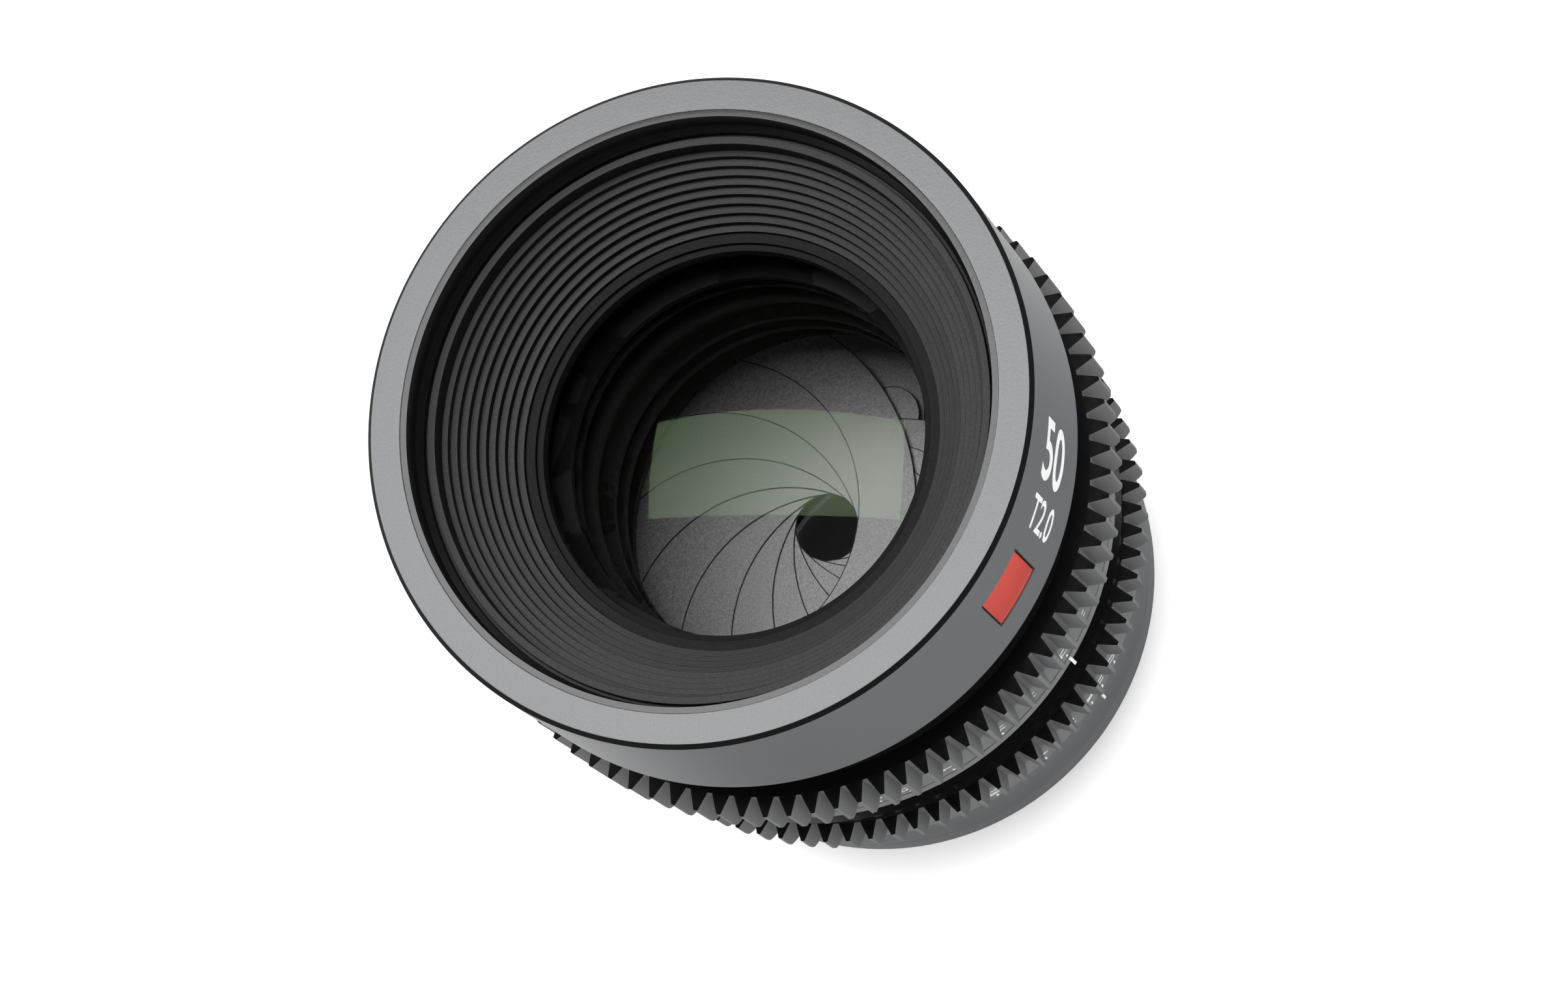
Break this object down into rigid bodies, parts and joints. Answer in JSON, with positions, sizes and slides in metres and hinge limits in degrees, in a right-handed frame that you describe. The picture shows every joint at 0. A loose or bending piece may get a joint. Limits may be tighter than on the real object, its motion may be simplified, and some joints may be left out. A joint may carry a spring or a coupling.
{
  "type": "cinema prime lens",
  "caption": "Cinema prime lens: straight barrel with filter thread and stepped baffle, geared focus and iris rings, many-bladed iris and rear bayonet.",
  "frame": {"origin": "centre of the rear flange plane, on the optical axis", "axes": "+Z along the optical axis towards the front glass; the index marks and badge face -Y"},
  "size_m": [0.072, 0.072, 0.0866],
  "materials": {
    "anodised": "fine bead-blasted anodised",
    "gear": "machined and anodised",
    "black": "gloss black",
    "baffle": "matt black",
    "glass": "coated",
    "brass": "machined",
    "steel": "machined",
    "blade": "satin",
    "badge": "enamel"
  },
  "bodies": {
    "barrel": {"front_barrel": "anodised", "filter_ring": "black", "stepped_baffle": "baffle", "front_retaining_ring": "black", "front_element": "glass", "front_cell": "black", "second_element": "glass", "second_retaining_ring": "black", "badge_plate": "badge", "neck_ring": "black", "main_barrel": "black", "index_ring": "black", "guide_key": "steel", "iris_retainer": "black", "iris_pivot_plate": "black", "rear_cell": "black", "rear_cell_screws": "steel", "rear_inner_element": "glass", "rear_inner_ring": "black", "rear_outer_element": "glass", "rear_outer_ring": "black", "rear_barrel": "anodised", "mount_base": "black", "bayonet_plate": "steel", "mount_screws": "steel", "rear_baffle": "black"},
    "focus_ring": {"focus_ring": "gear", "focus_drive_pin": "steel", "helicoid_sleeve": "brass"},
    "focus_cell": {"focus_cell": "black", "focus_front_element": "glass", "focus_rear_element": "glass", "focus_front_ring": "black", "focus_rear_ring": "black"},
    "iris_ring": {"iris_ring": "gear", "iris_drive_pin": "steel", "iris_cam_ring": "brass"},
    "iris_blade_01": {"iris_blade_01": "blade"},
    "iris_blade_02": {"iris_blade_02": "blade"},
    "iris_blade_03": {"iris_blade_03": "blade"},
    "iris_blade_04": {"iris_blade_04": "blade"},
    "iris_blade_05": {"iris_blade_05": "blade"},
    "iris_blade_06": {"iris_blade_06": "blade"},
    "iris_blade_07": {"iris_blade_07": "blade"},
    "iris_blade_08": {"iris_blade_08": "blade"},
    "iris_blade_09": {"iris_blade_09": "blade"},
    "iris_blade_10": {"iris_blade_10": "blade"},
    "iris_blade_11": {"iris_blade_11": "blade"},
    "iris_blade_12": {"iris_blade_12": "blade"},
    "iris_blade_13": {"iris_blade_13": "blade"},
    "iris_blade_14": {"iris_blade_14": "blade"}
  },
  "joints": [
    {"name": "focus_turn", "type": "hinge", "parent": "barrel", "child": "focus_ring", "pos_m": [0, 0, 0.045], "axis": [0, 0, 1], "range_deg": [-75, 75]},
    {"name": "focus_travel", "type": "slide", "parent": "barrel", "child": "focus_cell", "axis": [0, 0, 1], "range_m": [-0.003, 0.003]},
    {"name": "iris_turn", "type": "hinge", "parent": "barrel", "child": "iris_ring", "pos_m": [0, 0, 0.0195], "axis": [0, 0, 1], "range_deg": [-6.69, 45.68]},
    {"name": "iris_blade_01_swing", "type": "hinge", "parent": "barrel", "child": "iris_blade_01", "pos_m": [0.02125, 0.01584, 0.0325], "axis": [0, 0, 1], "range_deg": [-4.47, 30.46]},
    {"name": "iris_blade_02_swing", "type": "hinge", "parent": "barrel", "child": "iris_blade_02", "pos_m": [0.01227, 0.02349, 0.0325], "axis": [0, 0, 1], "range_deg": [-4.47, 30.46]},
    {"name": "iris_blade_03_swing", "type": "hinge", "parent": "barrel", "child": "iris_blade_03", "pos_m": [0.00087, 0.02649, 0.0325], "axis": [0, 0, 1], "range_deg": [-4.47, 30.46]},
    {"name": "iris_blade_04_swing", "type": "hinge", "parent": "barrel", "child": "iris_blade_04", "pos_m": [-0.01071, 0.02424, 0.0325], "axis": [0, 0, 1], "range_deg": [-4.47, 30.46]},
    {"name": "iris_blade_05_swing", "type": "hinge", "parent": "barrel", "child": "iris_blade_05", "pos_m": [-0.02017, 0.01719, 0.0325], "axis": [0, 0, 1], "range_deg": [-4.47, 30.46]},
    {"name": "iris_blade_06_swing", "type": "hinge", "parent": "barrel", "child": "iris_blade_06", "pos_m": [-0.02563, 0.00674, 0.0325], "axis": [0, 0, 1], "range_deg": [-4.47, 30.46]},
    {"name": "iris_blade_07_swing", "type": "hinge", "parent": "barrel", "child": "iris_blade_07", "pos_m": [-0.02601, -0.00505, 0.0325], "axis": [0, 0, 1], "range_deg": [-4.47, 30.46]},
    {"name": "iris_blade_08_swing", "type": "hinge", "parent": "barrel", "child": "iris_blade_08", "pos_m": [-0.02125, -0.01584, 0.0325], "axis": [0, 0, 1], "range_deg": [-4.47, 30.46]},
    {"name": "iris_blade_09_swing", "type": "hinge", "parent": "barrel", "child": "iris_blade_09", "pos_m": [-0.01227, -0.02349, 0.0325], "axis": [0, 0, 1], "range_deg": [-4.47, 30.46]},
    {"name": "iris_blade_10_swing", "type": "hinge", "parent": "barrel", "child": "iris_blade_10", "pos_m": [-0.00087, -0.02649, 0.0325], "axis": [0, 0, 1], "range_deg": [-4.47, 30.46]},
    {"name": "iris_blade_11_swing", "type": "hinge", "parent": "barrel", "child": "iris_blade_11", "pos_m": [0.01071, -0.02424, 0.0325], "axis": [0, 0, 1], "range_deg": [-4.47, 30.46]},
    {"name": "iris_blade_12_swing", "type": "hinge", "parent": "barrel", "child": "iris_blade_12", "pos_m": [0.02017, -0.01719, 0.0325], "axis": [0, 0, 1], "range_deg": [-4.47, 30.46]},
    {"name": "iris_blade_13_swing", "type": "hinge", "parent": "barrel", "child": "iris_blade_13", "pos_m": [0.02563, -0.00674, 0.0325], "axis": [0, 0, 1], "range_deg": [-4.47, 30.46]},
    {"name": "iris_blade_14_swing", "type": "hinge", "parent": "barrel", "child": "iris_blade_14", "pos_m": [0.02601, 0.00505, 0.0325], "axis": [0, 0, 1], "range_deg": [-4.47, 30.46]}
  ],
  "couplings": [
    {"joint": "focus_travel", "follows": "focus_turn", "m_per_rad": 0.00229},
    {"joint": "iris_blade_01_swing", "follows": "iris_turn", "ratio": 0.66667},
    {"joint": "iris_blade_02_swing", "follows": "iris_turn", "ratio": 0.66667},
    {"joint": "iris_blade_03_swing", "follows": "iris_turn", "ratio": 0.66667},
    {"joint": "iris_blade_04_swing", "follows": "iris_turn", "ratio": 0.66667},
    {"joint": "iris_blade_05_swing", "follows": "iris_turn", "ratio": 0.66667},
    {"joint": "iris_blade_06_swing", "follows": "iris_turn", "ratio": 0.66667},
    {"joint": "iris_blade_07_swing", "follows": "iris_turn", "ratio": 0.66667},
    {"joint": "iris_blade_08_swing", "follows": "iris_turn", "ratio": 0.66667},
    {"joint": "iris_blade_09_swing", "follows": "iris_turn", "ratio": 0.66667},
    {"joint": "iris_blade_10_swing", "follows": "iris_turn", "ratio": 0.66667},
    {"joint": "iris_blade_11_swing", "follows": "iris_turn", "ratio": 0.66667},
    {"joint": "iris_blade_12_swing", "follows": "iris_turn", "ratio": 0.66667},
    {"joint": "iris_blade_13_swing", "follows": "iris_turn", "ratio": 0.66667},
    {"joint": "iris_blade_14_swing", "follows": "iris_turn", "ratio": 0.66667}
  ]
}
